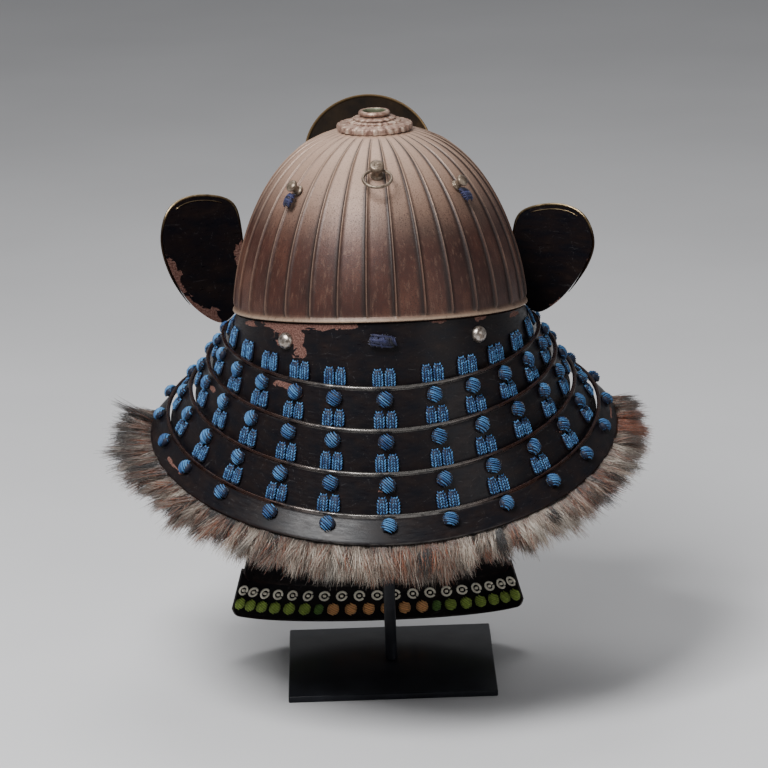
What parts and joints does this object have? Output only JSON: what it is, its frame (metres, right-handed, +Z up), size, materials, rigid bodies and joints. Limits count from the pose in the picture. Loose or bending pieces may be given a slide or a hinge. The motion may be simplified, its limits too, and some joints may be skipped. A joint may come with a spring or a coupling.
{
  "type": "samurai helmet and throat guard on a display stand",
  "caption": "Ridged domed helmet with a flaring laced neck guard, side turnbacks, a disc crest, a fur fringe and a hanging throat guard, carried by a post on a flat base.",
  "frame": {"origin": "middle of the underside of the stand's base", "axes": "+Z up the post, +Y out of the back of the helmet, +X across it"},
  "size_m": [0.4205, 0.3874, 0.4395],
  "materials": {
    "russet_iron": "russet-brown patinated iron, matt, with pale rubbed edges",
    "black_lacquer": "black lacquer over iron, glossy, chipped along its edges",
    "blue_braid": "flat silk braid, blue with a faint weave",
    "indigo_cord": "dark indigo silk cord",
    "cream_cord": "cream silk cord with coloured stretches",
    "green_cord": "green silk cord with an orange middle",
    "aged_brass": "aged brass, satin, darkened in its hollows",
    "silvered_rivet": "silvered dome, worn",
    "white_fur": "coarse off-white animal hair",
    "black_steel": "glossy black powder coat"
  },
  "bodies": {
    "helmet_on_stand": {"bowl": "russet_iron", "crown_petals": "russet_iron", "crown_teeth": "russet_iron", "crown_petals_upper": "russet_iron", "crown_ring": "russet_iron", "rear_post_right": "russet_iron", "rear_post_left": "russet_iron", "front_post_right": "russet_iron", "front_post_left": "russet_iron", "rear_cord_right": "indigo_cord", "rear_cord_left": "indigo_cord", "rear_ring_post": "russet_iron", "brow_band": "russet_iron", "visor": "black_lacquer", "crest": "aged_brass", "lame_1": "black_lacquer", "lame_2": "black_lacquer", "lame_3": "black_lacquer", "lame_4": "black_lacquer", "lame_5": "black_lacquer", "turnback_rim_right": "aged_brass", "turnback_rim_left": "aged_brass", "rivet_right": "silvered_rivet", "rivet_left": "silvered_rivet", "centre_cord": "indigo_cord", "lacing_01": "blue_braid", "lacing_02": "blue_braid", "lacing_03": "blue_braid", "lacing_04": "blue_braid", "lacing_05": "blue_braid", "lacing_06": "blue_braid", "lacing_07": "blue_braid", "lacing_08": "blue_braid", "lacing_09": "blue_braid", "lacing_10": "blue_braid", "lacing_11": "blue_braid", "lacing_12": "blue_braid", "lacing_13": "blue_braid", "lacing_14": "blue_braid", "lacing_15": "blue_braid", "lacing_16": "blue_braid", "lacing_17": "blue_braid", "fur_fringe": "white_fur", "throat_guard_3": "black_lacquer", "throat_guard_2": "black_lacquer", "throat_guard_1": "black_lacquer", "guard_knots_upper": "cream_cord", "guard_knots_lower": "green_cord", "stand_base": "black_steel", "stand_post": "black_steel"},
    "cord_ring": {"cord_ring": "aged_brass"}
  },
  "joints": [
    {"name": "cord_ring_swing", "type": "hinge", "parent": "helmet_on_stand", "child": "cord_ring", "pos_m": [0, 0.07871, 0.41092], "axis": [1, 0, 0], "range_deg": [-25, 150]}
  ]
}
